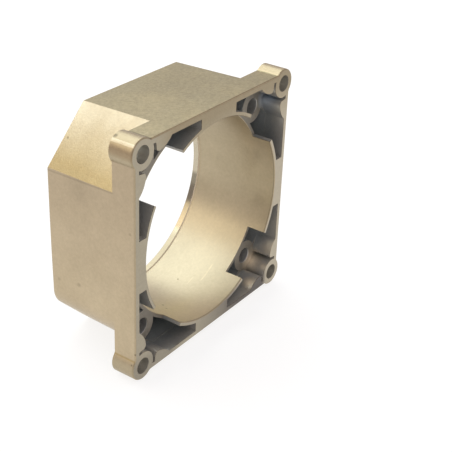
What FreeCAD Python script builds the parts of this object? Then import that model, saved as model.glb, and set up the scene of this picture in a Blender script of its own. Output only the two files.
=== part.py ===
import FreeCAD, Part
import math
import os

import Sketcher

# Adapter housing that carries a pump on the shaft end of a motor: one aluminium casting.
# The square flange faces -Y and takes the pump's plate, and the motor's spigot enters from the rear, +Y.
# The origin is the middle of the bore, on the flange's front face. X goes right, Z goes up.

# Driving dimensions in millimetres and degrees. Every other size follows from them.
# As they stand, the spigot seat is 110 wide, and the two rings of holes lie on circles of 130 and 165.
SIZES = {
    "flange_side": 128.0,
    "flange_thickness": 13.6,
    "flange_edge_round": 0.7,
    "flange_hole_inset": 5.664,
    "flange_hole_diameter": 9.0,
    "flange_boss_diameter": 15.8,
    "flange_boss_blend": 2.5,
    "overall_depth": 56.0,
    "outside_draft": 1.5,
    "rear_edge_break": 0.6,
    "seat_to_side": 9.0,
    "spigot_seat_depth": 3.6,
    "seat_lead_in": 0.5,
    "bore_relief": 0.7,
    "edge_break": 0.4,
    "seat_to_inner_hole": 10.0,
    "inner_hole_diameter": 9.0,
    "inner_boss_diameter": 18.4,
    "inner_boss_stand": 0.8,
    "corner_cover": 1.92,
    "lower_corner_extra": 1.8,
    "lower_corner_round": 14.0,
    "ring_wall": 2.0,
    "rim_wall": 2.9,
    "corner_wall": 1.9,
    "corner_floor": 1.6,
    "rear_wall": 4.0,
    "pocket_draft": 1.0,
    "pocket_corner_round": 1.2,
    "bridge_width": 28.8,
    "notch_angle": 30.0,
    "boss_slit": 1.8,
    "lobe_height": 5.1,
    "lobe_radius": 14.0,
    "lobe_nose_radius": 2.2,
}
CORNERS = 4
FULL_TURN = 360.0
# Two places closer than this are taken for one.
SAME_PLACE = 0.1


class Size:
    """A length or an angle: its number, for drawing, and its sheet expression, for the constraint."""

    def __init__(self, value, text):
        self.value = value
        self.text = text

    def combine(self, other, sign, value):
        text = other.text if isinstance(other, Size) else repr(other)
        return Size(value, f"({self.text} {sign} {text})")

    def __add__(self, other):
        return self.combine(other, "+", self.value + number(other))

    def __sub__(self, other):
        return self.combine(other, "-", self.value - number(other))

    def __mul__(self, other):
        return self.combine(other, "*", self.value * number(other))

    def __truediv__(self, other):
        return self.combine(other, "/", self.value / number(other))

    def __neg__(self):
        return self * -1


def number(item):
    return item.value if isinstance(item, Size) else item


doc = FreeCAD.newDocument("pump_adapter")
sheet = doc.addObject("Spreadsheet::Sheet", "Sizes")
for row, (alias, value) in enumerate(SIZES.items(), start=1):
    sheet.set(f"A{row}", alias)
    sheet.set(f"B{row}", str(value))
    sheet.setAlias(f"B{row}", alias)
doc.recompute()


def size(alias):
    return Size(SIZES[alias], f"Sizes.{alias}")


# Lengths that several features share. A hole's place is how far it lies from the axis, sideways and upwards.
ROOT_TWO = math.sqrt(2)
EIGHTH_TURN = Size(45.0, "45")
HALF_SIDE = size("flange_side") / 2
HALF_BRIDGE = size("bridge_width") / 2
RIM_INSIDE = HALF_SIDE - size("rim_wall")
SEAT_RADIUS = HALF_SIDE - size("seat_to_side")
BORE_RADIUS = SEAT_RADIUS + size("bore_relief")
RING_RADIUS = BORE_RADIUS + size("ring_wall")
FLANGE_HOLE_PLACE = HALF_SIDE - size("flange_hole_inset")
BOSS_RADIUS = size("flange_boss_diameter") / 2
SLIT_RADIUS = BOSS_RADIUS + size("boss_slit")
INNER_PITCH_RADIUS = SEAT_RADIUS + size("seat_to_inner_hole")
INNER_HOLE_PLACE = INNER_PITCH_RADIUS / ROOT_TWO
CORNER_FLOOR_DEPTH = size("flange_thickness") - size("corner_floor")
NOTCH_DEPTH = CORNER_FLOOR_DEPTH - size("inner_boss_stand")
# Half the width that the cut corners leave of each side. The cut clears the inner hole by the cover.
CORNER_CUT_RADIUS = INNER_PITCH_RADIUS + size("inner_hole_diameter") / 2 + size("corner_cover")
UPPER_FOOT = CORNER_CUT_RADIUS * ROOT_TWO - HALF_SIDE
LOWER_FOOT = UPPER_FOOT + size("lower_corner_extra")
# Where the inside of the cut corner's wall meets the inside of the rim.
CORNER_FOOT = UPPER_FOOT + size("rim_wall") - size("corner_wall") * ROOT_TWO


class Line:
    """A straight piece of an outline between two points."""

    def __init__(self, start, end):
        self.geometry = Part.LineSegment(FreeCAD.Vector(*start, 0), FreeCAD.Vector(*end, 0))
        self.ends = (1, 2)


class Arc:
    """A round piece of an outline from start to end about centre, by the short way unless told."""

    def __init__(self, centre, start, end, long_way=False):
        first = math.atan2(start[1] - centre[1], start[0] - centre[0])
        last = math.atan2(end[1] - centre[1], end[0] - centre[0])
        swing = (last - first + math.pi) % (2 * math.pi) - math.pi
        if long_way:
            swing -= math.copysign(2 * math.pi, swing)
        circle = Part.Circle(FreeCAD.Vector(*centre, 0), FreeCAD.Vector(0, 0, 1), math.dist(centre, start))
        self.ends = (1, 2) if swing > 0 else (2, 1)
        low, high = (first, first + swing) if swing > 0 else (first + swing, first)
        self.geometry = Part.ArcOfCircle(circle, low, high)


def straight_sides(points):
    """The straight pieces that join the points into a closed loop."""
    return [Line(point, points[(at + 1) % len(points)]) for at, point in enumerate(points)]


class Outline:
    """A closed loop of pieces in a sketch. Pieces listed as smooth run tangent into the next one."""

    def __init__(self, sketch, pieces, smooth=()):
        self.sketch = sketch
        self.pieces = pieces
        self.index = [sketch.addGeometry(piece.geometry, False) for piece in pieces]
        for here in range(len(pieces)):
            after = (here + 1) % len(pieces)
            joint = "Tangent" if here in smooth else "Coincident"
            sketch.addConstraint(Sketcher.Constraint(
                joint, self.index[here], pieces[here].ends[1], self.index[after], pieces[after].ends[0]))

    def rule(self, kind, piece):
        self.sketch.addConstraint(Sketcher.Constraint(kind, self.index[piece]))

    def bind(self, kind, *parts, length):
        """Add a dimension whose value is a sheet expression."""
        row = self.sketch.addConstraint(Sketcher.Constraint(kind, *parts, length.value))
        self.sketch.setExpression(f"Constraints[{row}]", length.text)

    def start_at(self, piece, x=None, y=None):
        """Place the start of a piece by its distances from the origin."""
        point = (self.index[piece], self.pieces[piece].ends[0])
        if x is not None:
            self.bind("DistanceX", -1, 1, *point, length=x)
        if y is not None:
            self.bind("DistanceY", -1, 1, *point, length=y)

    def centre_on_origin(self, piece):
        self.sketch.addConstraint(Sketcher.Constraint("Coincident", self.index[piece], 3, -1, 1))

    def centre_at(self, piece, x=None, y=None):
        if x is not None:
            self.bind("DistanceX", -1, 1, self.index[piece], 3, length=x)
        if y is not None:
            self.bind("DistanceY", -1, 1, self.index[piece], 3, length=y)

    def radius(self, piece, length):
        self.bind("Radius", self.index[piece], length=length)


def new_sketch(body, name, role, depth=None):
    """A sketch on one of the body's origin planes. On XZ_Plane, depth moves it back along +Y."""
    sketch = body.newObject("Sketcher::SketchObject", name)
    plane = next(item for item in body.Origin.OriginFeatures if item.Role == role)
    sketch.AttachmentSupport = [(plane, "")]
    sketch.MapMode = "FlatFace"
    if depth is not None:
        sketch.setExpression("AttachmentOffset.Base.z", (-depth).text)
    return sketch


def circle_sketch(body, name, place, diameter, depth=None):
    """A circle on the corner's diagonal, place to the right of the origin and as far up."""
    sketch = new_sketch(body, name, "XZ_Plane", depth)
    middle = FreeCAD.Vector(place.value, place.value, 0)
    ring = sketch.addGeometry(Part.Circle(middle, FreeCAD.Vector(0, 0, 1), diameter.value / 2), False)
    for kind, length in (("DistanceX", place), ("DistanceY", place)):
        row = sketch.addConstraint(Sketcher.Constraint(kind, -1, 1, ring, 3, length.value))
        sketch.setExpression(f"Constraints[{row}]", length.text)
    row = sketch.addConstraint(Sketcher.Constraint("Diameter", ring, diameter.value))
    sketch.setExpression(f"Constraints[{row}]", diameter.text)
    return sketch


def pad(body, name, sketch, length):
    """Material from the sketch towards the rear."""
    feature = body.newObject("PartDesign::Pad", name)
    feature.Profile = sketch
    feature.Reversed = True
    feature.setExpression("Length", length.text)
    return feature


def pocket(body, name, sketch, length):
    """A cut from the sketch towards the rear."""
    feature = body.newObject("PartDesign::Pocket", name)
    feature.Profile = sketch
    feature.setExpression("Length", length.text)
    return feature


def named_edges(feature, wanted):
    """Names of the edges of a feature that wanted accepts."""
    return [f"Edge{at}" for at, edge in enumerate(feature.Shape.Edges, start=1) if wanted(edge)]


def rounding(body, name, base, wanted, radius):
    """Round every edge of base that wanted accepts."""
    feature = body.newObject("PartDesign::Fillet", name)
    feature.Base = (base, named_edges(base, wanted))
    feature.setExpression("Radius", radius.text)
    doc.recompute()
    return feature


def bevel(body, name, base, wanted, width):
    """Break every edge of base that wanted accepts at 45 degrees."""
    feature = body.newObject("PartDesign::Chamfer", name)
    feature.Base = (base, named_edges(base, wanted))
    feature.setExpression("Size", width.text)
    doc.recompute()
    return feature


def runs_back(edge):
    """True for an edge that leads straight from the flange's side to the rear."""
    if len(edge.Vertexes) < 2:
        return False
    reach = edge.Vertexes[1].Point - edge.Vertexes[0].Point
    return abs(reach.y) > math.hypot(reach.x, reach.z)


def eight_sides(sketch, upper_foot, lower_foot):
    """A square as wide as the flange with its corners cut, from the foot of each cut to the next."""
    half = HALF_SIDE
    places = [
        (half, -lower_foot),
        (half, upper_foot),
        (upper_foot, half),
        (-upper_foot, half),
        (-half, upper_foot),
        (-half, -lower_foot),
        (-lower_foot, -half),
        (lower_foot, -half),
    ]
    loop = Outline(sketch, straight_sides([(x.value, y.value) for x, y in places]))
    for at, (x, y) in enumerate(places):
        loop.start_at(at, x=x, y=y)


def body_block(body):
    """The drafted block behind the flange, its four long edges cut off."""
    sketch = new_sketch(body, "body_outline", "XZ_Plane", size("flange_thickness"))
    eight_sides(sketch, UPPER_FOOT, LOWER_FOOT)
    block = pad(body, "body_block", sketch, size("overall_depth") - size("flange_thickness"))
    block.setExpression("TaperAngle", (-size("outside_draft")).text)
    doc.recompute()

    def lower_long(edge):
        return runs_back(edge) and edge.CenterOfMass.z < 0

    def rear_outside(edge):
        return all(abs(corner.Y - SIZES["overall_depth"]) < SAME_PLACE for corner in edge.Vertexes)

    blended = rounding(body, "lower_corner_blends", block, lower_long, size("lower_corner_round"))
    return bevel(body, "rear_edge", blended, rear_outside, size("rear_edge_break"))


def flange_plate(body):
    """The square flange with a round boss on each corner, blended into the sides."""
    sketch = new_sketch(body, "flange_outline", "XZ_Plane")
    blend = size("flange_boss_blend")
    place = FLANGE_HOLE_PLACE.value
    out = HALF_SIDE.value + blend.value
    reach = BOSS_RADIUS.value + blend.value
    foot = place - math.sqrt(reach ** 2 - (out - place) ** 2)
    share = BOSS_RADIUS.value / reach
    touch = (place + (out - place) * share, place + (foot - place) * share)

    pieces = []
    for quarter in range(CORNERS):
        def turned(x, y, quarter=quarter):
            for _ in range(quarter):
                x, y = -y, x
            return (x, y)

        side = HALF_SIDE.value
        pieces += [
            Line(turned(side, -foot), turned(side, foot)),
            Arc(turned(out, foot), turned(side, foot), turned(*touch)),
            Arc(turned(place, place), turned(*touch), turned(touch[1], touch[0])),
            Arc(turned(foot, out), turned(touch[1], touch[0]), turned(foot, side)),
        ]
    loop = Outline(sketch, pieces, smooth=range(len(pieces)))
    for quarter, (x, y) in enumerate(((1, 1), (-1, 1), (-1, -1), (1, -1))):
        first = 4 * quarter
        loop.rule("Horizontal" if quarter % 2 else "Vertical", first)
        sign = 1 if quarter in (0, 1) else -1
        if quarter % 2:
            loop.start_at(first, y=HALF_SIDE * sign)
        else:
            loop.start_at(first, x=HALF_SIDE * sign)
        loop.radius(first + 1, blend)
        loop.radius(first + 2, BOSS_RADIUS)
        loop.radius(first + 3, blend)
        loop.centre_at(first + 2, x=FLANGE_HOLE_PLACE * x, y=FLANGE_HOLE_PLACE * y)
    plate = pad(body, "flange_plate", sketch, size("flange_thickness"))
    doc.recompute()

    def front_outside(edge):
        return all(abs(corner.Y) < SAME_PLACE for corner in edge.Vertexes)

    return rounding(body, "flange_front_edge", plate, front_outside, size("flange_edge_round"))


def flange_boss_inside(body):
    """The part of a flange boss that stands inside the rim."""
    sketch = new_sketch(body, "flange_boss_outline", "XZ_Plane")
    base = HALF_SIDE - size("rim_wall") / 2
    place = FLANGE_HOLE_PLACE.value
    foot = place - math.sqrt(BOSS_RADIUS.value ** 2 - (base.value - place) ** 2)
    right, corner, top = (base.value, foot), (base.value, base.value), (foot, base.value)
    loop = Outline(sketch, [Line(right, corner), Line(corner, top), Arc((place, place), top, right)])
    loop.rule("Vertical", 0)
    loop.rule("Horizontal", 1)
    loop.start_at(1, x=base, y=base)
    loop.centre_at(2, x=FLANGE_HOLE_PLACE, y=FLANGE_HOLE_PLACE)
    loop.radius(2, BOSS_RADIUS)
    return sketch


def bore(body):
    """The through bore, with a slightly narrower seat for the spigot at the rear."""
    sketch = new_sketch(body, "bore_profile", "XY_Plane")
    depth = size("overall_depth")
    broken = size("edge_break")
    step = depth - size("spigot_seat_depth")
    places = [
        (BORE_RADIUS + broken, Size(0.0, "0")),
        (BORE_RADIUS, broken),
        (BORE_RADIUS, step - size("seat_lead_in")),
        (SEAT_RADIUS, step),
        (SEAT_RADIUS, depth - broken),
        (SEAT_RADIUS + broken, depth),
    ]
    points = [(x.value, y.value) for x, y in places] + [(0.0, depth.value), (0.0, 0.0)]
    loop = Outline(sketch, straight_sides(points))
    loop.start_at(0, x=places[0][0])
    for piece in range(1, len(places)):
        loop.start_at(piece, x=places[piece][0], y=places[piece][1])
    rear, axis, front = range(len(places) - 1, len(points))
    loop.rule("Horizontal", rear)
    loop.rule("Horizontal", front)
    sketch.addConstraint(Sketcher.Constraint("PointOnObject", loop.index[axis], 1, -2))
    sketch.addConstraint(Sketcher.Constraint("Coincident", loop.index[front], 1, -1, 1))
    groove = body.newObject("PartDesign::Groove", "bore")
    groove.Profile = sketch
    groove.ReferenceAxis = (sketch, ["V_Axis"])
    groove.Angle = FULL_TURN
    return groove


def pocket_outline(body, name, cut_corner):
    """The space between rim, bridges and bore ring in the upper right corner, seen from the front."""
    sketch = new_sketch(body, name, "XZ_Plane")
    far = RIM_INSIDE.value
    near = HALF_BRIDGE.value
    foot = CORNER_FOOT.value
    arm = math.sqrt(RING_RADIUS.value ** 2 - near ** 2)
    corner = [(far, foot), (foot, far)] if cut_corner else [(far, far)]
    points = [(far, near)] + corner + [(near, far), (near, arm)]
    pieces = [Line(points[at], points[at + 1]) for at in range(len(points) - 1)]
    pieces.append(Arc((0.0, 0.0), (near, arm), (arm, near)))
    pieces.append(Line((arm, near), (far, near)))
    space = Outline(sketch, pieces)
    last = len(pieces) - 1
    space.centre_on_origin(last - 1)
    space.radius(last - 1, RING_RADIUS)
    space.start_at(0, x=RIM_INSIDE, y=HALF_BRIDGE)
    space.rule("Vertical", 0)
    space.rule("Horizontal", last)
    space.rule("Vertical", last - 2)
    space.rule("Horizontal", last - 3)
    space.start_at(last - 2, x=HALF_BRIDGE, y=RIM_INSIDE)
    if cut_corner:
        space.start_at(1, y=CORNER_FOOT)
        space.start_at(2, x=CORNER_FOOT)
    return sketch


def lobe(sketch, upright):
    """A rounded ear on the rim beside the flange boss, on the right side if upright, else on the top."""

    def turn(x, y):
        return (x, y) if upright else (y, x)

    def turned(x=None, y=None):
        return {"x": x, "y": y} if upright else {"x": y, "y": x}

    base = HALF_SIDE - size("rim_wall") / 2
    big = size("lobe_radius")
    nose = size("lobe_nose_radius")
    hub = RIM_INSIDE - size("lobe_height") + big
    rise = math.sqrt(big.value ** 2 - (hub.value - RIM_INSIDE.value) ** 2)
    hub_up = CORNER_FOOT.value + rise
    boss = FLANGE_HOLE_PLACE.value
    # The nose circle touches the big one from inside and the slit's circle from outside.
    to_hub = big.value - nose.value
    to_boss = SLIT_RADIUS.value + nose.value
    apart = math.dist((hub.value, hub_up), (boss, boss))
    along = (to_hub ** 2 - to_boss ** 2 + apart ** 2) / (2 * apart)
    aside = math.sqrt(to_hub ** 2 - along ** 2)
    ahead = ((boss - hub.value) / apart, (boss - hub_up) / apart)
    tip = (hub.value + along * ahead[0] - aside * ahead[1], hub_up + along * ahead[1] + aside * ahead[0])
    touch_big = tuple(tip[k] + (tip[k] - (hub.value, hub_up)[k]) * nose.value / to_hub for k in range(2))
    touch_slit = tuple(tip[k] + (boss - tip[k]) * nose.value / to_boss for k in range(2))
    low = hub_up - math.sqrt(big.value ** 2 - (hub.value - base.value) ** 2)
    high = boss - math.sqrt(SLIT_RADIUS.value ** 2 - (boss - base.value) ** 2)

    ear = Outline(sketch, [
        Arc(turn(hub.value, hub_up), turn(base.value, low), turn(*touch_big)),
        Arc(turn(*tip), turn(*touch_big), turn(*touch_slit)),
        Arc(turn(boss, boss), turn(*touch_slit), turn(base.value, high)),
        Line(turn(base.value, high), turn(base.value, low)),
    ], smooth=(0, 1))
    ear.radius(0, big)
    ear.radius(1, nose)
    ear.radius(2, SLIT_RADIUS)
    ear.centre_at(0, **turned(x=hub))
    ear.centre_at(2, x=FLANGE_HOLE_PLACE, y=FLANGE_HOLE_PLACE)
    ear.start_at(3, **turned(x=base))
    ear.rule("Vertical" if upright else "Horizontal", 3)
    # The big circle crosses the rim's inside where the cut corner's wall does.
    crossing = FreeCAD.Vector(*turn(RIM_INSIDE.value, CORNER_FOOT.value), 0)
    foot = sketch.addGeometry(Part.Point(crossing), True)
    sketch.addConstraint(Sketcher.Constraint("PointOnObject", foot, 1, ear.index[0]))
    for kind, length in (("DistanceX", RIM_INSIDE), ("DistanceY", CORNER_FOOT)):
        kind = kind if upright else {"DistanceX": "DistanceY", "DistanceY": "DistanceX"}[kind]
        ear.bind(kind, -1, 1, foot, 1, length=length)


def notch_outline(body):
    """A wedge about the diagonal that takes the front of the bore ring away."""
    sketch = new_sketch(body, "notch_outline", "XZ_Plane")
    inside = BORE_RADIUS - size("ring_wall")
    outside = RING_RADIUS + size("ring_wall") / 2
    half = size("notch_angle") / 2
    turns = [EIGHTH_TURN - half, EIGHTH_TURN + half]

    def on_circle(radius, turn):
        angle = math.radians(turn.value)
        return (radius.value * math.cos(angle), radius.value * math.sin(angle))

    a, b = on_circle(inside, turns[0]), on_circle(outside, turns[0])
    c, d = on_circle(outside, turns[1]), on_circle(inside, turns[1])
    wedge = Outline(sketch, [Line(a, b), Arc((0.0, 0.0), b, c), Line(c, d), Arc((0.0, 0.0), d, a)])
    for piece, radius in ((1, outside), (3, inside)):
        wedge.centre_on_origin(piece)
        wedge.radius(piece, radius)
    for piece, turn in ((0, turns[0]), (2, turns[1])):
        sketch.addConstraint(Sketcher.Constraint("PointOnObject", -1, 1, wedge.index[piece]))
        reach = Size(math.cos(math.radians(turn.value)), f"cos({turn.text})")
        corner = outside if piece == 2 else inside
        wedge.start_at(piece, x=corner * reach)
    return sketch


def inner_boss_outline(body):
    """A round boss whose outer side is flattened where the cut corner's wall closes it."""
    sketch = new_sketch(body, "inner_boss_outline", "XZ_Plane", NOTCH_DEPTH)
    radius = size("inner_boss_diameter") / 2
    # The flat lies well inside the wall, which leans in towards the rear.
    flat = (RIM_INSIDE + CORNER_FOOT) / ROOT_TWO + size("corner_wall") / 4
    centre = (INNER_HOLE_PLACE.value, INNER_HOLE_PLACE.value)
    half_chord = math.sqrt(radius.value ** 2 - (flat.value - INNER_HOLE_PLACE.value * ROOT_TWO) ** 2)
    low = ((flat.value + half_chord) / ROOT_TWO, (flat.value - half_chord) / ROOT_TWO)
    high = (low[1], low[0])
    loop = Outline(sketch, [Line(low, high), Arc(centre, high, low, long_way=True)])
    loop.centre_at(1, x=INNER_HOLE_PLACE, y=INNER_HOLE_PLACE)
    loop.radius(1, radius)
    loop.bind("Distance", -1, 1, loop.index[0], length=flat)
    sketch.addConstraint(Sketcher.Constraint("Angle", loop.index[0], math.radians(3 * EIGHTH_TURN.value)))
    return sketch


housing = doc.addObject("PartDesign::Body", "adapter_housing")
housing.Label = "adapter_housing"
doc.recompute()
body_block(housing)
flange_plate(housing)
bore(housing)

front_outline = pocket_outline(housing, "front_pocket_outline", cut_corner=False)
front = pocket(housing, "front_pocket", front_outline, CORNER_FLOOR_DEPTH)
deep_outline = pocket_outline(housing, "deep_pocket_outline", cut_corner=True)
deep = pocket(housing, "deep_pocket", deep_outline, size("overall_depth") - size("rear_wall"))
deep.setExpression("TaperAngle", (-size("pocket_draft")).text)

boss = pad(housing, "flange_boss", flange_boss_inside(housing), size("flange_thickness"))
lobe_sketch = new_sketch(housing, "lobe_outlines", "XZ_Plane")
lobe(lobe_sketch, True)
lobe(lobe_sketch, False)
lobes = pad(housing, "lobes", lobe_sketch, size("flange_thickness"))
notch = pocket(housing, "notch", notch_outline(housing), NOTCH_DEPTH)
inner_boss = pad(housing, "inner_boss", inner_boss_outline(housing),
                 size("overall_depth") - size("rear_wall") / 2 - NOTCH_DEPTH)
# The boss is a full circle where it stands on the floor of the corner, ahead of the cut corner's wall.
head_outline = circle_sketch(housing, "inner_boss_circle", INNER_HOLE_PLACE,
                             size("inner_boss_diameter"), NOTCH_DEPTH)
boss_head = pad(housing, "inner_boss_head", head_outline,
                size("inner_boss_stand") + size("corner_floor") / 2)
flange_hole_outline = circle_sketch(housing, "flange_hole_outline", FLANGE_HOLE_PLACE,
                                    size("flange_hole_diameter"))
flange_hole = pocket(housing, "flange_hole", flange_hole_outline, size("flange_thickness"))
inner_hole_outline = circle_sketch(housing, "inner_hole_outline", INNER_HOLE_PLACE,
                                   size("inner_hole_diameter"))
inner_hole = pocket(housing, "inner_hole", inner_hole_outline, size("overall_depth"))
doc.recompute()

corners = housing.newObject("PartDesign::PolarPattern", "corners")
corners.Originals = [front, deep, boss, lobes, notch, inner_boss, boss_head, flange_hole, inner_hole]
corners.Axis = (next(item for item in housing.Origin.OriginFeatures if item.Role == "Y_Axis"), [""])
corners.Occurrences = CORNERS
corners.Angle = FULL_TURN
housing.Tip = corners
doc.recompute()


def from_axis(point, place):
    """How far a point is from the nearest of the four axes that stand place to each side and up."""
    return math.dist((abs(point.x), abs(point.z)), (place.value, place.value))


def pocket_corner(edge):
    """True for the long inside corners of the cored pockets."""
    middle = edge.CenterOfMass
    return (runs_back(edge) and middle.y > CORNER_FLOOR_DEPTH.value
            and math.hypot(middle.x, middle.z) > RING_RADIUS.value
            and abs(middle.x) + abs(middle.z) < RIM_INSIDE.value + CORNER_FOOT.value
            and from_axis(middle, INNER_HOLE_PLACE) > SIZES["inner_boss_diameter"] / 2 + SAME_PLACE)


def inner_hole_mouth(edge):
    """True for the front edge of a hole in an inner boss."""
    return (isinstance(edge.Curve, Part.Circle) and abs(edge.Curve.Center.y - NOTCH_DEPTH.value) < SAME_PLACE
            and from_axis(edge.Curve.Center, INNER_HOLE_PLACE) < SAME_PLACE
            and abs(edge.Curve.Radius - SIZES["inner_hole_diameter"] / 2) < SAME_PLACE)


pocket_corners = rounding(housing, "pocket_corners", corners, pocket_corner, size("pocket_corner_round"))
housing.Tip = bevel(housing, "inner_hole_mouths", pocket_corners, inner_hole_mouth, size("edge_break"))
doc.recompute()

for item in doc.Objects:
    if "Invalid" in item.State or "Error" in item.State:
        raise SystemExit(f"{item.Name} failed: {item.State}")
if housing.Shape.isNull() or not housing.Shape.isValid():
    raise SystemExit(f"{housing.Label} has no valid shape")
print(housing.Label, "solids", len(housing.Shape.Solids), "volume", round(housing.Shape.Volume, 1))

os.makedirs("parts", exist_ok=True)
housing.Shape.exportStep(f"parts/{housing.Label}.step")
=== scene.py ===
import math

import bpy
from mathutils import Matrix, Vector

# Looks of the cast adapter housing: bare aluminium, blasted outside, machined on the front, bore and rear.
# Metres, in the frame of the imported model. The bore's middle on the front face is the origin, +Y is the rear,
# +Z is up, and -X is the side that shows at the left in the photograph.

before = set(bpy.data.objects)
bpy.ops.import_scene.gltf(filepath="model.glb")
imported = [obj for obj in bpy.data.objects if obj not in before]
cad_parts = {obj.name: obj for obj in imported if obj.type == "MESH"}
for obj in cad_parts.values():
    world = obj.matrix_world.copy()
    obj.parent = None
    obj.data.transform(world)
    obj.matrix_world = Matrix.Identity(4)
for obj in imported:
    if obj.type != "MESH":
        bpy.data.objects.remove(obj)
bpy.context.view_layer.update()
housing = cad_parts["adapter_housing"]

# Sizes of the casting that the finishes follow. A hole's place is how far its axis lies from the middle,
# both sideways and up.
DEPTH = 0.056
HALF_SIDE = 0.0640
BORE_RADIUS = 0.0557
LEAD_IN_START = 0.0514
SEAT_START = 0.0522
FLANGE_HOLE_PLACE = 0.0583
INNER_HOLE_PLACE = 0.0460
HOLE_RADIUS = 0.0045
CUT_CORNER_START = 0.0350
TOP_END = 0.0643
BOSS_START = 0.0645
SKIN = 0.0001

# The cored pockets lie between the ring round the bore and the rim. In the corners of the flange they are
# shallow, outside a line on which the distances sideways and up add up to INSIDE_CORNER.
RING_RADIUS = 0.0560
INSIDE_RIM = 0.0613
INSIDE_CORNER = 0.0985
CORNER_FLOOR = 0.0121
POCKET_START = 0.0002
POCKET_END = 0.0540

# How far a surface has to face one way to count as one that does: 1 is straight. The last is a fade, for
# how far it faces up plus how far it faces left.
SQUARE = 0.95
UPWARD = 0.9
LEFTWARD = -0.9
LEDGE = -0.7
LEAD_IN_SLOPE = -0.3
UP_AND_LEFT = (1.15, 1.35)

# Where colours, painted light and painted shade fade in, from nothing to full, first by depth, then by height,
# then sideways.
FRONT_EDGE_FADE = (0.0012, 0.0004)
BORE_EDGE_FADE = (0.0009, 0.0005)
BORE_MOUTH_FADE = (0.016, 0.005)
POCKET_MOUTH_FADE = (0.0005, 0.0085)
POCKET_SUNK_FADE = (0.0100, 0.0170)
POCKET_DEEP_FADE = (0.006, 0.026)
BORE_BOTTOM_FADE = (-0.015, -0.030)
BORE_HIGH_FADE = (-0.010, 0.020)
BORE_LOW_FADE = (-0.045, -0.053)
SEAT_DARK_FADE = (-0.0080, -0.0105)
SEAT_DARK_END = (-0.0375, -0.0240)
SEAT_LOW_FADE = (-0.037, -0.043)
FACE_TOP_FADE = (0.040, 0.060)
FACE_LOW_FADE = (-0.050, -0.056)
GOLD_FADE = (0.060, 0.040)
LEFT_SIDE_FADE = (-0.025, 0.035)
BORE_LEFT_FADE = (0.015, -0.005)
FACE_RIGHT_FADE = (-0.040, 0.050)
FACE_TOP_RIGHT_FADE = (-0.050, -0.036)
FACE_LOW_RIGHT_FADE = (-0.0156, 0.0250)
FACE_LOW_RIGHT_END = (0.0535, 0.0500)
FACE_LOW_LEFT_FADE = (-0.028, -0.036)
TOP_RIGHT_FADE = (-0.045, 0.045)

# Colours of the outside. Where there are two, soft blotches blend them.
CAST_SKIN = (0.500, 0.408, 0.272), (0.550, 0.452, 0.306)
# Painted shade: the top is darker than the sides.
TOP_SHADE_SKIN = (0.370, 0.322, 0.208), (0.415, 0.354, 0.218)
# Painted highlight where the outside faces up and left: silver, going over into a darker gold lower down.
CORNER_HIGHLIGHT_SILVER = (0.560, 0.490, 0.360), (0.700, 0.640, 0.500)
CORNER_GOLD = (0.385, 0.297, 0.146)
# Painted shade: the left side darker towards its top.
LEFT_SHADE_SKIN = (0.420, 0.333, 0.232)
# Painted shade: the bosses are darker than the rest of the skin.
BOSS_SHADE_SKIN = (0.445, 0.372, 0.250)
# Painted shade: a brown band along the upper left boss.
BOSS_SHADE_BAND_BROWN = (0.345, 0.258, 0.162)
# Darker along the front edge of the outside.
FRONT_EDGE_DARK = (0.170, 0.132, 0.070)

# Colours of the machined faces and the holes. Blotches blend the two of the cut metal, and the front goes
# from its left colour to its right one.
CUT_METAL = (0.445, 0.372, 0.252), (0.485, 0.408, 0.280)
FACE_METAL = (0.395, 0.350, 0.262), (0.450, 0.395, 0.297)
FACE_TOP_METAL = (0.322, 0.262, 0.168)
# Painted shade on the front of the lower rim, strongest towards the right.
FACE_LOW_SHADE_METAL = (0.118, 0.102, 0.089)
# Painted highlight on the lower part of the bore.
BORE_BOTTOM_HIGHLIGHT_METAL = (0.555, 0.485, 0.350)
BORE_LOW_MOUTH_METAL = (0.560, 0.492, 0.405)
BORE_HIGH_MOUTH_METAL = (0.500, 0.445, 0.345)
SEAT_METAL = (0.530, 0.470, 0.355)
SEAT_LOW_METAL = (0.375, 0.318, 0.225)
# Painted reflection: a dark stretch of the seat.
SEAT_DARK_REFLECTION_METAL = (0.200, 0.175, 0.130)
# Painted light: the lead-in is nearly white.
LEAD_IN_PAINTED_LIGHT = (0.950, 0.840, 0.640)
FLANGE_HOLE_METAL = (0.455, 0.440, 0.388)
INNER_HOLE_METAL = (0.480, 0.482, 0.460)

# Colours of the cored pockets. Small clouds blend the two slates.
POCKET_SLATE = (0.350, 0.375, 0.390), (0.410, 0.420, 0.400)
POCKET_DEEP_SLATE = (0.425, 0.465, 0.455)
POCKET_MOUTH_GREY = (0.550, 0.535, 0.490)
POCKET_LEDGE_BROWN = (0.250, 0.227, 0.182)
# Painted highlight, a cool blue grey, in the upper right corner pocket.
POCKET_BLUE_GLEAM_GREY = (0.450, 0.510, 0.575)
# Painted highlight, warm and bright, in the lower right corner pockets.
POCKET_WARM_GLEAM_METAL = (0.860, 0.745, 0.555)

# How much of a colour goes over the one below it.
LEFT_SHADE_SKIN_SHARE = 0.6
CORNER_HIGHLIGHT_SHARE = 0.75
FRONT_EDGE_DARK_SHARE = 0.25
SEAT_DARK_SHARE = 0.80
FACE_LOW_LEFT_SHARE = 0.30

# How much of the bare metal's mirror is lost: all of it on the lead-in.
DULL_POCKET = 0.45
DULL_SUNK = 0.15
DULL_HOLE = 0.4
# Duller on the painted highlights in the corner pockets.
DULL_WARM_GLEAM = 0.95
DULL_BLUE_GLEAM = 0.80

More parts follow.
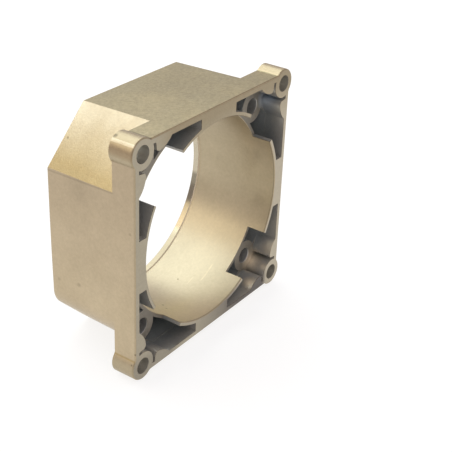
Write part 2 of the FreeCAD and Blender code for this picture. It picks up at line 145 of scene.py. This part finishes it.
# Noises of the skin, from wide to fine: scale, detail and roughness, and the part of the range that is used.
BLOTCHES = (34.0, 4.0, 0.6)
BLOTCH_RANGE = (0.35, 0.65)
SWELL = (120.0, 3.0, 0.5)
CLOUDS = (150.0, 3.0, 0.6)
CLOUD_RANGE = (0.3, 0.7)
MOTTLE = (620.0, 3.0, 0.65)
MOTTLE_RANGE = (0.3, 0.7)
GRAIN = (1300.0, 2.0, 0.7)
GRAIN_RANGE = (0.2, 0.8)

# Light and dark of the colour: by clouds, by the fine mottle, more of it on the top, and painted shade across
# the top, darker to the right.
CLOUD_SHADE = (0.975, 1.025)
MOTTLE_SHADE = 0.10
TOP_MOTTLE_SHADE = 0.22
TOP_RIGHT_SHADE = (-0.05, 0.05)

# Painted shade: darker in the creases of the outside, found by how shut in a place is. Also darker along the
# front edge of the bore.
CREASE_REACH = 0.0012
CREASE_SAMPLES = 6
CREASE_RANGE = (0.80, 0.45)
CREASE_SHADE = 0.45
BORE_EDGE_DARK = 0.35

# Relief of the surface: how high each part of it counts, and how high one unit is.
GRAIN_HEIGHT = 0.75
SWELL_HEIGHT = 1.1
TURNING_PITCH = 0.0011
TURNING_HEIGHT = 0.05
CUTTER_HEIGHT = 0.25
CUTTER_CENTRE = (0.03, 0.0, 0.45)
CUTTER_SCALE = 420.0
CUTTER_WAVER = 1.2
CUTTER_DETAIL = 2.0
PIT_HEIGHT = 2.0
RELIEF_STRENGTH = 0.55
RELIEF_HEIGHT = 0.00022

# Roughness of the cast skin, and what each finish adds to it.
ROUGH_SKIN = (0.35, 0.45)
ROUGH_MACHINED = -0.07
ROUGH_SUNK = 0.15
ROUGH_BORE = 0.09
ROUGH_SEAT = -0.18

# Small pits: place, size and how dark each is.
PITS = [
    ((-0.0510, 0.0532, 0.0486), 0.0009, 0.30),
    ((-0.0634, 0.0372, -0.0228), 0.0017, 0.22),
    ((-0.0630, 0.0511, -0.0249), 0.0013, 0.16),
    ((-0.0640, 0.0031, 0.0186), 0.0011, 0.16),
    ((0.0291, 0.0199, 0.0638), 0.0008, 0.30),
    ((0.0124, 0.0329, -0.0543), 0.0005, 0.55),
    ((-0.0143, 0.0224, -0.0538), 0.0009, 0.50),
    ((-0.0164, 0.0183, -0.0532), 0.0008, 0.45),
    ((-0.0642, 0.0002, -0.0488), 0.0009, 0.55),
    ((-0.0655, 0.0015, -0.0548), 0.0007, 0.45),
    ((-0.0622, 0.0130, 0.0654), 0.0016, 0.50),
]
# Wide soft dark patches: place, reach and how dark each is. The first is a stain on the left side and the
# fourth a dark patch on the top; the others, on the bore's wall, are painted shade.
STAINS_AND_SHADE = [
    ((-0.0634, 0.0342, 0.0314), 0.0100, 0.10),
    ((0.0536, 0.0115, 0.0150), 0.0050, 0.14),
    ((0.0536, 0.0090, -0.0130), 0.0060, 0.10),
    ((0.0080, 0.0330, 0.0635), 0.0240, 0.08),
    ((0.0542, 0.0150, 0.0130), 0.0085, 0.10),
    ((0.0250, 0.0500, -0.0497), 0.0220, 0.13),
]
# Painted highlights, warm and bright, in the lower right corner's pockets: place, reach and strength.
WARM_GLEAM = [
    ((0.0402, 0.0028, -0.0584), 0.0052, 1.00),
    ((0.0575, 0.0027, -0.0440), 0.0055, 0.35),
    ((0.0528, 0.0108, -0.0523), 0.0090, 1.00),
    ((0.0526, 0.0026, -0.0529), 0.0035, 0.50),
]
# A painted highlight, a cool blue grey, in the upper right corner's pocket: place, reach and strength.
BLUE_GLEAM = [
    ((0.0585, 0.0085, 0.0480), 0.0085, 1.00),
]
# Fine bright scratches in the bore: from, to, half width and how much brighter.
SCRATCHES = [
    ((0.0178, 0.0207, -0.0528), (0.0284, 0.0210, -0.0479), 0.0006, 0.17),
    ((0.0120, 0.0260, -0.0544), (0.0176, 0.0262, -0.0528), 0.0005, 0.11),
]
# Thin dark lines along edges: from, to, half width and how much darker. The first is painted shade in the
# crease where the upper left boss meets the top of the flange; the second runs along the left side near its
# top.
DARK_LINES = [
    ((-0.0524, 0.0000, 0.0646), (-0.0528, 0.0135, 0.0646), 0.0013, 0.55),
    ((-0.0640, 0.0137, 0.0366), (-0.0629, 0.0560, 0.0352), 0.0007, 0.16),
]
# Painted shade: a soft brown band along the upper left boss: from, to, half width and strength.
BOSS_SHADE_BAND = [
    ((-0.0662, 0.0000, 0.0596), (-0.0662, 0.0135, 0.0600), 0.0036, 0.85),
]
# The share of a mark's size that is at full strength; from there it fades out.
PIT_CORE = 0.35
STAIN_AND_SHADE_CORE = 0.1
WARM_GLEAM_CORE = 0.0
BLUE_GLEAM_CORE = 0.2
STREAK_CORE = 0.3

# The studio. The floor leans as the part does when it rests on its lower bosses and its rear edge.
WHITE = (1.0, 1.0, 1.0)
FLOOR_SIZE = 14.0
FLOOR_TILT = math.radians(4.5)
FLOOR_UNDER_FRONT = -0.0674
FLOOR_PAINT = (0.80, 0.80, 0.80)
FLOOR_GLOW = 1.22
FLOOR_GLOW_SHARE = 0.65
ROOM_LIGHT = (0.700, 0.645, 0.650)

# The photograph's viewpoint, solved from the straight edges of the flange and the body: a turn about one
# axis, as long as its angle in radians, and a shift in half sides of the flange.
PHOTO_LENS = 80.84
PHOTO_SENSOR = 36.0
PHOTO_TURN = (1.90958, -0.95517, 0.61385)
PHOTO_SHIFT = (-0.08591, -0.04172, 8.18096)


class Nodes:
    """Short calls for building a shader node tree."""

    def __init__(self, tree):
        self.tree = tree
        tree.nodes.clear()

    def add(self, kind, **values):
        node = self.tree.nodes.new(kind)
        for name, value in values.items():
            setattr(node, name, value)
        return node

    def feed(self, socket, value):
        """Links a socket to another one, or sets it to a number, a vector or a colour."""
        if isinstance(value, bpy.types.NodeSocket):
            self.tree.links.new(value, socket)
        elif socket.type == "RGBA":
            socket.default_value = (*value, 1.0)
        else:
            socket.default_value = value

    def feed_all(self, node, **values):
        """Feeds sockets by their names, with an underscore for each blank."""
        for name, value in values.items():
            self.feed(node.inputs[name.replace("_", " ")], value)
        return node

    def math(self, operation, *values):
        node = self.add("ShaderNodeMath", operation=operation)
        for socket, value in zip(node.inputs, values):
            self.feed(socket, value)
        return node.outputs[0]

    def vector(self, operation, *values):
        node = self.add("ShaderNodeVectorMath", operation=operation)
        for socket, value in zip(node.inputs, values):
            self.feed(socket, value)
        return node

    def scaled(self, vector, scale):
        node = self.vector("SCALE", vector)
        return self.feed_all(node, Scale=scale).outputs["Vector"]

    def axes(self, vector):
        node = self.add("ShaderNodeSeparateXYZ")
        self.feed(node.inputs[0], vector)
        return node.outputs

    def ramp(self, value, low, high, to_low=0.0, to_high=1.0):
        node = self.add("ShaderNodeMapRange", clamp=True)
        self.feed_all(node, Value=value, From_Min=low, From_Max=high, To_Min=to_low, To_Max=to_high)
        return node.outputs[0]

    def noise(self, place, scale, detail, roughness):
        node = self.add("ShaderNodeTexNoise")
        return self.feed_all(node, Vector=place, Scale=scale, Detail=detail, Roughness=roughness).outputs[0]

    def blend(self, factor, first, second):
        node = self.add("ShaderNodeMix", data_type="RGBA")
        colors = [socket for socket in node.inputs if socket.type == "RGBA"]
        self.feed(node.inputs["Factor"], factor)
        self.feed(colors[0], first)
        self.feed(colors[1], second)
        return next(socket for socket in node.outputs if socket.type == "RGBA")

    def plus(self, first, second):
        return self.math("ADD", first, second)

    def minus(self, first, second):
        return self.math("SUBTRACT", first, second)

    def both(self, first, second):
        return self.math("MULTIPLY", first, second)

    def either(self, first, second):
        return self.math("MAXIMUM", first, second)

    def without(self, first, second):
        return self.both(first, self.minus(1.0, second))

    def below(self, value, limit):
        return self.math("LESS_THAN", value, limit)

    def above(self, value, limit):
        return self.math("GREATER_THAN", value, limit)

    def distance(self, first, second):
        return self.math("SQRT", self.plus(self.both(first, first), self.both(second, second)))


def spots(n, where, marks, core):
    """Soft round marks, the strongest where they overlap: each a place, a reach and a strength."""
    total = None
    for place, reach, strength in marks:
        away = n.vector("DISTANCE", where, place).outputs["Value"]
        spot = n.ramp(away, reach * core, reach, strength, 0.0)
        total = spot if total is None else n.either(total, spot)
    return total


def streaks(n, where, marks):
    """Straight lines that fade out on both sides: each from, to, a half width and a strength."""
    total = None
    for start, end, half_width, strength in marks:
        along = Vector(end) - Vector(start)
        from_start = n.vector("SUBTRACT", where, start).outputs["Vector"]
        part = n.vector("DOT_PRODUCT", from_start, tuple(along / along.length_squared)).outputs["Value"]
        nearest = n.scaled(tuple(along), n.ramp(part, 0.0, 1.0))
        away = n.vector("DISTANCE", from_start, nearest).outputs["Value"]
        line = n.ramp(away, STREAK_CORE * half_width, half_width, strength, 0.0)
        total = line if total is None else n.either(total, line)
    return total


class Place:
    """A place on the casting by its axes, and how far it lies from the middle sideways, up and all round."""

    def __init__(self, n, where):
        self.where = where
        self.x, self.y, self.z = n.axes(where)
        self.wide, self.high = n.math("ABSOLUTE", self.x), n.math("ABSOLUTE", self.z)
        self.square = n.either(self.wide, self.high)
        self.radius = n.distance(self.x, self.z)


class Facing:
    """How far the surface at a place faces right, to the rear and up."""

    def __init__(self, n, normal):
        self.right, self.rear, self.up = n.axes(normal)


def machined_masks(n, at, facing):
    """The front and rear faces and the bore with its seat, and the parts of them that look different."""
    front = n.both(n.below(at.y, SKIN), n.below(facing.rear, -SQUARE))
    rear = n.both(n.above(at.y, DEPTH - SKIN), n.above(facing.rear, SQUARE))
    bore = n.below(at.radius, BORE_RADIUS + SKIN)
    bore_mouth = n.both(bore, n.ramp(at.y, *BORE_MOUTH_FADE))
    bore_low_left = n.both(n.ramp(at.z, *BORE_LOW_FADE), n.ramp(at.x, *BORE_LEFT_FADE))
    face_low_right = n.both(n.ramp(at.x, *FACE_LOW_RIGHT_FADE), n.ramp(at.x, *FACE_LOW_RIGHT_END))
    face_low_left = n.ramp(at.x, *FACE_LOW_LEFT_FADE, 0.0, FACE_LOW_LEFT_SHARE)
    seat_dark_end = n.ramp(at.z, *SEAT_DARK_END, 0.0, SEAT_DARK_SHARE)
    return {
        "front": front,
        "flat": n.either(front, rear),
        "machined": n.either(n.either(front, rear), bore),
        "face_right": n.ramp(at.x, *FACE_RIGHT_FADE),
        "face_top": n.both(n.ramp(at.z, *FACE_TOP_FADE), n.ramp(at.x, *FACE_TOP_RIGHT_FADE)),
        # Painted shade on the front of the lower rim.
        "face_low_shade": n.both(n.ramp(at.z, *FACE_LOW_FADE), n.either(face_low_right, face_low_left)),
        "bore": bore,
        # Painted highlight on the lower part of the bore.
        "bore_bottom_highlight": n.both(bore, n.ramp(at.z, *BORE_BOTTOM_FADE)),
        "bore_high_mouth": n.both(bore_mouth, n.ramp(at.z, *BORE_HIGH_FADE)),
        "bore_low_mouth": n.both(bore_mouth, bore_low_left),
        "bore_edge": n.both(bore, n.ramp(at.y, *BORE_EDGE_FADE)),
        "seat": n.both(bore, n.above(at.y, SEAT_START)),
        "seat_low": n.ramp(at.z, *SEAT_LOW_FADE),
        # Painted reflection: a dark stretch of the seat.
        "seat_dark_reflection": n.both(n.ramp(at.z, *SEAT_DARK_FADE), seat_dark_end),
        "lead_in": n.both(n.both(bore, n.above(at.y, LEAD_IN_START)), n.below(facing.rear, LEAD_IN_SLOPE)),
    }


def pocket_masks(n, at, facing):
    """The screw holes and the cored pockets round them."""

    def near_hole(place):
        away = n.distance(n.minus(at.wide, place), n.minus(at.high, place))
        return n.below(away, HOLE_RADIUS + SKIN)

    inner_hole = near_hole(INNER_HOLE_PLACE)
    hole = n.either(near_hole(FLANGE_HOLE_PLACE), inner_hole)
    between = n.both(n.below(at.square, INSIDE_RIM), n.above(at.radius, RING_RADIUS))
    corner = n.either(n.below(n.plus(at.wide, at.high), INSIDE_CORNER), n.below(at.y, CORNER_FLOOR))
    deep_enough = n.both(n.above(at.y, POCKET_START), n.below(at.y, POCKET_END))
    cored = n.without(n.both(n.both(between, corner), deep_enough), hole)
    return {
        "hole": hole,
        "inner_hole": inner_hole,
        "cored": cored,
        "pocket_ledge": n.both(cored, n.below(facing.rear, LEDGE)),
        "pocket_inside": n.ramp(at.y, *POCKET_MOUTH_FADE),
        "pocket_deep": n.ramp(at.y, *POCKET_DEEP_FADE),
        "sunk": n.both(cored, n.ramp(at.y, *POCKET_SUNK_FADE)),
        # Painted highlights in the lower right corner pockets.
        "warm_gleam": n.both(cored, spots(n, at.where, WARM_GLEAM, WARM_GLEAM_CORE)),
        # A painted highlight in the upper right corner pocket.
        "blue_gleam": n.both(cored, spots(n, at.where, BLUE_GLEAM, BLUE_GLEAM_CORE)),
    }


def outside_masks(n, at, facing):
    """The parts of the cast outside that look different."""
    cut = n.ramp(n.minus(facing.up, facing.right), *UP_AND_LEFT)
    top = n.both(n.above(facing.up, UPWARD), n.above(at.z, INSIDE_RIM))
    return {
        # Painted highlight on the faces that face up and left.
        "cut_corner": n.both(cut, n.below(at.x, -CUT_CORNER_START)),
        "gold": n.ramp(at.z, *GOLD_FADE),
        "top": n.both(top, n.below(at.z, TOP_END)),
        # Painted shade on the left side, darker towards its top.
        "left_shade": n.both(n.below(facing.right, LEFTWARD), n.ramp(at.z, *LEFT_SIDE_FADE)),
        # Painted shade on the bosses.
        "boss": n.above(at.square, BOSS_START),
        # Painted shade: a brown band along the upper left boss.
        "brown_band_shade": streaks(n, at.where, BOSS_SHADE_BAND),
        "front_edge": n.ramp(at.y, *FRONT_EDGE_FADE),
    }


def outside_color(n, mask, blotch):
    silver = n.blend(blotch, *CORNER_HIGHLIGHT_SILVER)
    corner = n.blend(mask["gold"], silver, CORNER_GOLD)
    # Painted shade: the top darker than the sides, and darker still along its front edge.
    top = n.blend(mask["front_edge"], n.blend(blotch, *TOP_SHADE_SKIN), FRONT_EDGE_DARK)
    color = n.blend(blotch, *CAST_SKIN)
    # Painted shade: the left side, darker towards its top.
    color = n.blend(n.both(mask["left_shade"], LEFT_SHADE_SKIN_SHARE), color, LEFT_SHADE_SKIN)
    # Painted highlight where the skin faces up and left.
    color = n.blend(n.both(mask["cut_corner"], CORNER_HIGHLIGHT_SHARE), color, corner)
    # Painted shade on the bosses.
    color = n.blend(mask["boss"], color, BOSS_SHADE_SKIN)
    # Painted shade: a brown band along the upper left boss.
    color = n.blend(mask["brown_band_shade"], color, BOSS_SHADE_BAND_BROWN)
    # Darker along the front edge.
    color = n.blend(n.both(mask["front_edge"], FRONT_EDGE_DARK_SHARE), color, FRONT_EDGE_DARK)
    return n.blend(mask["top"], color, top)


def machined_color(n, mask, blotch):
    face = n.blend(mask["face_right"], *FACE_METAL)
    face = n.blend(mask["face_top"], face, FACE_TOP_METAL)
    # Painted shade on the front of the lower rim.
    face = n.blend(mask["face_low_shade"], face, FACE_LOW_SHADE_METAL)
    seat = n.blend(mask["seat_low"], SEAT_METAL, SEAT_LOW_METAL)
    # Painted reflection: a dark stretch of the seat.
    seat = n.blend(mask["seat_dark_reflection"], seat, SEAT_DARK_REFLECTION_METAL)
    color = n.blend(mask["front"], n.blend(blotch, *CUT_METAL), face)
    # Painted highlight on the lower part of the bore.
    color = n.blend(mask["bore_bottom_highlight"], color, BORE_BOTTOM_HIGHLIGHT_METAL)
    color = n.blend(mask["bore_low_mouth"], color, BORE_LOW_MOUTH_METAL)
    color = n.blend(mask["bore_high_mouth"], color, BORE_HIGH_MOUTH_METAL)
    color = n.blend(mask["seat"], color, seat)
    # Painted light: the lead-in nearly white.
    return n.blend(mask["lead_in"], color, LEAD_IN_PAINTED_LIGHT)


def pocket_color(n, mask, cloud):
    slate = n.blend(mask["pocket_deep"], n.blend(cloud, *POCKET_SLATE), POCKET_DEEP_SLATE)
    color = n.blend(mask["pocket_inside"], POCKET_MOUTH_GREY, slate)
    color = n.blend(mask["pocket_ledge"], color, POCKET_LEDGE_BROWN)
    # Painted highlights: cool blue grey in the upper right corner, warm and bright in the lower right.
    color = n.blend(mask["blue_gleam"], color, POCKET_BLUE_GLEAM_GREY)
    return n.blend(mask["warm_gleam"], color, POCKET_WARM_GLEAM_METAL)


def skin_shade(n, at, mask, cloud):
    """How light each place is: clouds and mottle, less pits, stains and painted shade, and brighter scratches.
    """
    mottle = n.ramp(n.noise(at.where, *MOTTLE), *MOTTLE_RANGE)
    spread = n.plus(MOTTLE_SHADE, n.both(mask["top"], TOP_MOTTLE_SHADE))
    speckle = n.plus(1.0, n.both(n.minus(mottle, 0.5), spread))
    shade = n.both(n.ramp(cloud, 0.0, 1.0, *CLOUD_SHADE), speckle)
    # Pits and stains, and painted shade on the bore's wall.
    dark = n.plus(spots(n, at.where, PITS, PIT_CORE), spots(n, at.where, STAINS_AND_SHADE, STAIN_AND_SHADE_CORE))
    # Painted shade across the top, darker to the right.
    dark = n.plus(dark, n.both(mask["top"], n.ramp(at.x, *TOP_RIGHT_FADE, *TOP_RIGHT_SHADE)))
    # Painted shade in the creases, found by how shut in a place is.
    crease = n.add("ShaderNodeAmbientOcclusion", samples=CREASE_SAMPLES, only_local=True)
    n.feed_all(crease, Distance=CREASE_REACH)
    crease_shade = n.ramp(crease.outputs["AO"], *CREASE_RANGE, 0.0, CREASE_SHADE)
    crease_shade = n.without(crease_shade, n.either(mask["cored"], mask["bore"]))
    # Dark lines along edges, the first one painted shade, and darker along the front edge of the bore.
    dark_lines = n.either(streaks(n, at.where, DARK_LINES), n.both(mask["bore_edge"], BORE_EDGE_DARK))
    shade = n.minus(n.minus(shade, n.plus(dark, crease_shade)), dark_lines)
    return n.plus(shade, streaks(n, at.where, SCRATCHES))


def skin_color(n, at, mask):
    """Warm bare metal with soft blotches, greyer where it is cut, slate grey down in the pockets."""
    blotch = n.ramp(n.noise(at.where, *BLOTCHES), *BLOTCH_RANGE)
    cloud = n.ramp(n.noise(at.where, *CLOUDS), *CLOUD_RANGE)
    color = n.blend(mask["machined"], outside_color(n, mask, blotch), machined_color(n, mask, blotch))
    color = n.blend(n.without(mask["hole"], mask["flat"]), color, FLANGE_HOLE_METAL)
    color = n.blend(mask["inner_hole"], color, INNER_HOLE_METAL)
    color = n.blend(mask["cored"], color, pocket_color(n, mask, cloud))
    return n.scaled(color, skin_shade(n, at, mask, cloud))


def skin_relief(n, at, mask):
    """Blast grain on the cast skin, turning rings in the bore, faint passes of the cutter on the front."""
    grain = n.both(n.noise(at.where, *GRAIN), GRAIN_HEIGHT)
    swell = n.both(n.noise(at.where, *SWELL), SWELL_HEIGHT)
    rings = n.math("SINE", n.both(at.y, 2 * math.pi / TURNING_PITCH))
    rings = n.both(n.without(mask["bore"], mask["seat"]), n.both(rings, TURNING_HEIGHT))
    passes = n.add("ShaderNodeTexWave", wave_type="RINGS", rings_direction="SPHERICAL")
    from_cutter = n.vector("ADD", at.where, CUTTER_CENTRE).outputs["Vector"]
    n.feed_all(passes, Vector=from_cutter, Scale=CUTTER_SCALE, Distortion=CUTTER_WAVER, Detail=CUTTER_DETAIL)
    passes = n.both(n.both(mask["front"], passes.outputs[1]), CUTTER_HEIGHT)
    relief = n.plus(n.without(n.plus(grain, swell), mask["machined"]), n.plus(rings, passes))
    return n.minus(relief, n.both(spots(n, at.where, PITS, PIT_CORE), PIT_HEIGHT))


def skin_roughness(n, at, mask):
    rough = n.ramp(n.noise(at.where, *GRAIN), *GRAIN_RANGE, *ROUGH_SKIN)
    rough = n.plus(rough, n.both(mask["machined"], ROUGH_MACHINED))
    rough = n.plus(rough, n.both(n.either(mask["sunk"], mask["lead_in"]), ROUGH_SUNK))
    rough = n.plus(rough, n.both(n.without(mask["bore"], mask["seat"]), ROUGH_BORE))
    return n.plus(rough, n.both(n.without(mask["seat"], mask["lead_in"]), ROUGH_SEAT))


def skin_metallic(n, mask):
    """Bare metal all over, duller in the pockets and the holes and on the painted highlights in the corner
    pockets.
    """
    dull = n.plus(n.both(mask["cored"], DULL_POCKET), n.both(mask["sunk"], DULL_SUNK))
    dull = n.either(dull, n.both(n.without(mask["hole"], mask["flat"]), DULL_HOLE))
    dull = n.either(dull, n.either(mask["lead_in"], n.both(mask["warm_gleam"], DULL_WARM_GLEAM)))
    dull = n.either(dull, n.both(mask["blue_gleam"], DULL_BLUE_GLEAM))
    return n.minus(1.0, dull)


def casting_material(material):
    """Bare cast aluminium that knows its machined faces by where they lie."""
    material.use_nodes = True
    n = Nodes(material.node_tree)
    surface = n.add("ShaderNodeTexCoord")
    at = Place(n, surface.outputs["Object"])
    facing = Facing(n, surface.outputs["Normal"])
    mask = {**machined_masks(n, at, facing), **pocket_masks(n, at, facing), **outside_masks(n, at, facing)}
    bump = n.add("ShaderNodeBump")
    n.feed_all(bump, Strength=RELIEF_STRENGTH, Distance=RELIEF_HEIGHT, Height=skin_relief(n, at, mask))
    shader = n.add("ShaderNodeBsdfPrincipled")
    n.feed_all(shader, Metallic=skin_metallic(n, mask), Base_Color=skin_color(n, at, mask),
               Roughness=skin_roughness(n, at, mask), Normal=bump.outputs[0])
    n.feed_all(n.add("ShaderNodeOutputMaterial"), Surface=shader.outputs[0])


def floor_material():
    """White studio floor: bright to the camera and to mirrors, with a soft shadow left on it."""
    material = bpy.data.materials.new("studio_floor")
    material.use_nodes = True
    n = Nodes(material.node_tree)
    rays = n.add("ShaderNodeLightPath").outputs
    mirrored = n.either(rays["Is Glossy Ray"], rays["Is Transmission Ray"])
    seen = n.both(n.either(rays["Is Camera Ray"], mirrored), FLOOR_GLOW_SHARE)
    matte = n.feed_all(n.add("ShaderNodeBsdfDiffuse"), Color=FLOOR_PAINT)
    glow = n.feed_all(n.add("ShaderNodeEmission"), Color=WHITE, Strength=FLOOR_GLOW)
    mix = n.add("ShaderNodeMixShader")
    for socket, value in zip(mix.inputs, (seen, matte.outputs[0], glow.outputs[0])):
        n.feed(socket, value)
    n.feed_all(n.add("ShaderNodeOutputMaterial"), Surface=mix.outputs[0])
    return material


def studio_world():
    """Soft light from all round, plain white where the camera looks past the floor."""
    world = bpy.data.worlds.new("studio_world")
    world.use_nodes = True
    n = Nodes(world.node_tree)
    seen = n.add("ShaderNodeLightPath").outputs["Is Camera Ray"]
    sky = n.feed_all(n.add("ShaderNodeBackground"), Color=n.blend(seen, ROOM_LIGHT, WHITE))
    n.feed_all(n.add("ShaderNodeOutputWorld"), Surface=sky.outputs[0])
    return world


def softbox(name, place, width, height, power, color):
    """A lamp with a wide face, aimed at the origin."""
    data = bpy.data.lights.new(name, "AREA")
    data.shape = "RECTANGLE"
    data.size = width
    data.size_y = height
    data.energy = power
    data.color = color
    lamp = bpy.data.objects.new(name, data)
    lamp.location = place
    lamp.rotation_euler = (-Vector(place)).to_track_quat("-Z", "Y").to_euler()
    bpy.context.scene.collection.objects.link(lamp)


def photo_camera():
    data = bpy.data.cameras.new("photo_camera")
    data.sensor_width = PHOTO_SENSOR
    data.lens = PHOTO_LENS
    camera = bpy.data.objects.new("photo_camera", data)
    turn = Vector(PHOTO_TURN)
    view = Matrix.Rotation(turn.length, 3, turn.normalized())
    shift = Vector(PHOTO_SHIFT) * HALF_SIDE
    axes = Matrix((view[0], -view[1], -view[2])).transposed()
    camera.matrix_world = Matrix.Translation(-(view.transposed() @ shift)) @ axes.to_4x4()
    bpy.context.scene.collection.objects.link(camera)
    return camera


for slot in housing.material_slots:
    casting_material(slot.material)

bpy.ops.mesh.primitive_plane_add(size=FLOOR_SIZE)
floor = bpy.context.object
floor.name = "studio_floor_plane"
floor.rotation_euler = (FLOOR_TILT, 0.0, 0.0)
floor.location = (0.0, 0.0, FLOOR_UNDER_FRONT)
floor.data.materials.append(floor_material())

bpy.context.scene.world = studio_world()
softbox("overhead_softbox", place=(0.14, 0.75, 1.25), width=1.90, height=0.95, power=11.2,
        color=(0.91, 1.0, 0.97))
softbox("warm_side_softbox", place=(-1.10, 0.71, 0.88), width=0.85, height=0.80, power=2.8,
        color=(1.0, 0.86, 0.56))
bpy.context.scene.camera = photo_camera()
bpy.context.scene.view_settings.view_transform = "Standard"
